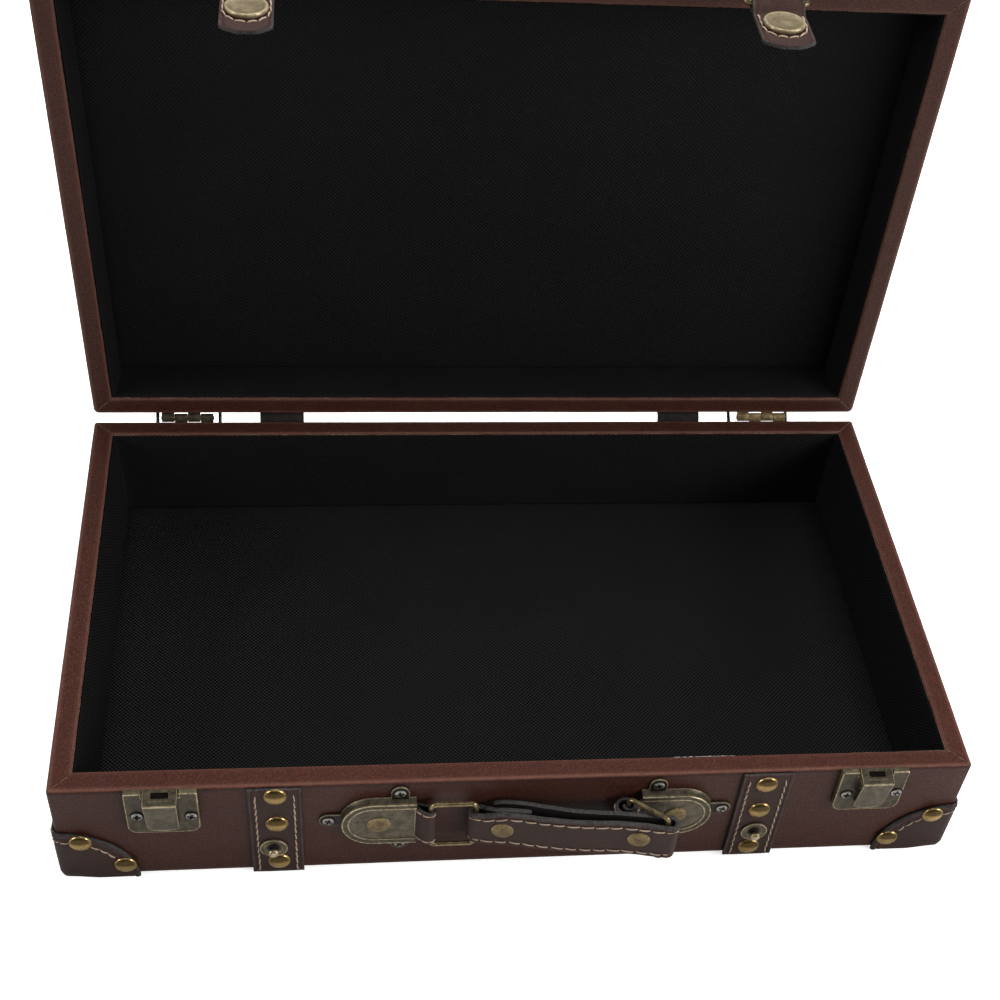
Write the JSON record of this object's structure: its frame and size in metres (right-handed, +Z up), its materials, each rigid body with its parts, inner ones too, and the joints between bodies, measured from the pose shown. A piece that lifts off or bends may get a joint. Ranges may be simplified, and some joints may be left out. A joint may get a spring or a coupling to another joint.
{
  "type": "suitcase box",
  "caption": "Flat wooden keepsake box in the form of a suitcase, with a hinged lid, a carrying handle, spring latches and snap-down straps.",
  "frame": {"origin": "centre of the flat underside", "axes": "+X to the right along the front, +Y from the front with the handle towards the hinges, +Z up"},
  "size_m": [0.403, 0.29, 0.3073],
  "materials": {
    "leatherette": "satin",
    "board": "matte",
    "lining": "matte",
    "strap_leather": "matte",
    "antique_brass": "worn antique",
    "steel": "dull"
  },
  "bodies": {
    "base": {"base_back_strap_left": "strap_leather", "base_back_strap_right": "strap_leather", "base_bottom_board": "board", "base_cover": "leatherette", "base_floor_pad": "lining", "base_lining": "lining", "base_strap_left": "strap_leather", "base_strap_right": "strap_leather", "base_underside_sheet": "leatherette", "base_wall_back": "board", "base_wall_front": "board", "base_wall_left": "board", "base_wall_right": "board", "corner_patch_back_left": "strap_leather", "corner_patch_back_right": "strap_leather", "corner_patch_front_left": "strap_leather", "corner_patch_front_right": "strap_leather", "handle_casing_left": "antique_brass", "handle_casing_right": "antique_brass", "handle_cover_left": "antique_brass", "handle_cover_right": "antique_brass", "handle_tab_left": "strap_leather", "handle_tab_right": "strap_leather", "hinge_leaf_base_left": "antique_brass", "hinge_leaf_base_right": "antique_brass", "hinge_pin_left": "steel", "hinge_pin_right": "steel", "latch_plate_left": "antique_brass", "latch_plate_right": "antique_brass", "snap_stud_left": "antique_brass", "snap_stud_right": "antique_brass", "strap_bridge_left": "strap_leather", "strap_bridge_right": "strap_leather"},
    "lid": {"hinge_leaf_lid_left": "antique_brass", "hinge_leaf_lid_right": "antique_brass", "lid_board": "board", "lid_cover": "leatherette", "lid_hook_left": "antique_brass", "lid_hook_right": "antique_brass", "lid_lining": "lining", "lid_pad": "lining", "lid_strap_left": "strap_leather", "lid_strap_right": "strap_leather", "lid_wall_back": "board", "lid_wall_front": "board", "lid_wall_left": "board", "lid_wall_right": "board"},
    "closure_ring_left": {"closure_ring_left": "antique_brass"},
    "strap_tail_left": {"strap_tail_left": "strap_leather", "snap_cap_left": "antique_brass"},
    "latch_lever_left": {"latch_lever_left": "antique_brass"},
    "hinge_stay_left": {"hinge_stay_left": "steel"},
    "handle_ring_left": {"handle_ring_left": "antique_brass"},
    "closure_ring_right": {"closure_ring_right": "antique_brass"},
    "strap_tail_right": {"strap_tail_right": "strap_leather", "snap_cap_right": "antique_brass"},
    "latch_lever_right": {"latch_lever_right": "antique_brass"},
    "hinge_stay_right": {"hinge_stay_right": "steel"},
    "handle_ring_right": {"handle_ring_right": "antique_brass"},
    "handle_grip": {"handle_grip": "strap_leather"}
  },
  "joints": [
    {"name": "lid_hinge", "type": "hinge", "parent": "base", "child": "lid", "pos_m": [0, 0.12, 0.06125], "axis": [1, 0, 0], "range_deg": [0, 90], "deforming": ["strap_bridge_left", "strap_bridge_right"]},
    {"name": "closure_ring_swing_left", "type": "hinge", "parent": "lid", "child": "closure_ring_left", "pos_m": [-0.1082, 0.12375, 0.3038], "axis": [1, 0, 0], "range_deg": [-4.7, 0]},
    {"name": "strap_tail_flex_left", "type": "hinge", "parent": "closure_ring_left", "child": "strap_tail_left", "pos_m": [-0.1082, 0.09521, 0.30431], "axis": [-1, 0, 0], "range_deg": [-6, 70], "stiffness_Nm_per_rad": 0.03, "springref_deg": 1.15},
    {"name": "latch_lever_tip_left", "type": "hinge", "parent": "base", "child": "latch_lever_left", "pos_m": [-0.1534, -0.1229, 0.057], "axis": [-1, 0, 0], "range_deg": [0, 10], "stiffness_Nm_per_rad": 0.05},
    {"name": "hinge_stay_lean_left", "type": "hinge", "parent": "base", "child": "hinge_stay_left", "pos_m": [-0.1532, 0.12, 0.05225], "axis": [1, 0, 0], "range_deg": [0, 55.7]},
    {"name": "closure_ring_swing_right", "type": "hinge", "parent": "lid", "child": "closure_ring_right", "pos_m": [0.1072, 0.12375, 0.3038], "axis": [1, 0, 0], "range_deg": [-4.7, 0]},
    {"name": "strap_tail_flex_right", "type": "hinge", "parent": "closure_ring_right", "child": "strap_tail_right", "pos_m": [0.1072, 0.09521, 0.30431], "axis": [-1, 0, 0], "range_deg": [-6, 70], "stiffness_Nm_per_rad": 0.03, "springref_deg": 1.15},
    {"name": "latch_lever_tip_right", "type": "hinge", "parent": "base", "child": "latch_lever_right", "pos_m": [0.155, -0.1229, 0.057], "axis": [-1, 0, 0], "range_deg": [0, 10], "stiffness_Nm_per_rad": 0.05},
    {"name": "hinge_stay_lean_right", "type": "hinge", "parent": "base", "child": "hinge_stay_right", "pos_m": [0.1496, 0.12, 0.05225], "axis": [1, 0, 0], "range_deg": [0, 55.7]},
    {"name": "handle_swing", "type": "hinge", "parent": "base", "child": "handle_ring_left", "pos_m": [-0.0403, -0.1225, 0.0368], "axis": [0, 0, -1], "range_deg": [0, 60]},
    {"name": "handle_grip_turn", "type": "hinge", "parent": "handle_ring_left", "child": "handle_grip", "pos_m": [-0.0208, -0.1225, 0.0368], "axis": [0, 0, -1], "range_deg": [-67, 0]},
    {"name": "handle_ring_right_swing", "type": "hinge", "parent": "base", "child": "handle_ring_right", "pos_m": [0.0457, -0.1225, 0.0368], "axis": [0, 0, -1], "range_deg": [0, 33.7]}
  ],
  "couplings": [
    {"joint": "closure_ring_swing_left", "follows": "lid_hinge", "ratio": -0.0522},
    {"joint": "hinge_stay_lean_left", "follows": "lid_hinge", "ratio": 0.6178},
    {"joint": "closure_ring_swing_right", "follows": "lid_hinge", "ratio": -0.0522},
    {"joint": "hinge_stay_lean_right", "follows": "lid_hinge", "ratio": 0.6178},
    {"joint": "handle_grip_turn", "follows": "handle_swing", "ratio": -1.1162},
    {"joint": "handle_ring_right_swing", "follows": "handle_swing", "ratio": 0.5595}
  ]
}
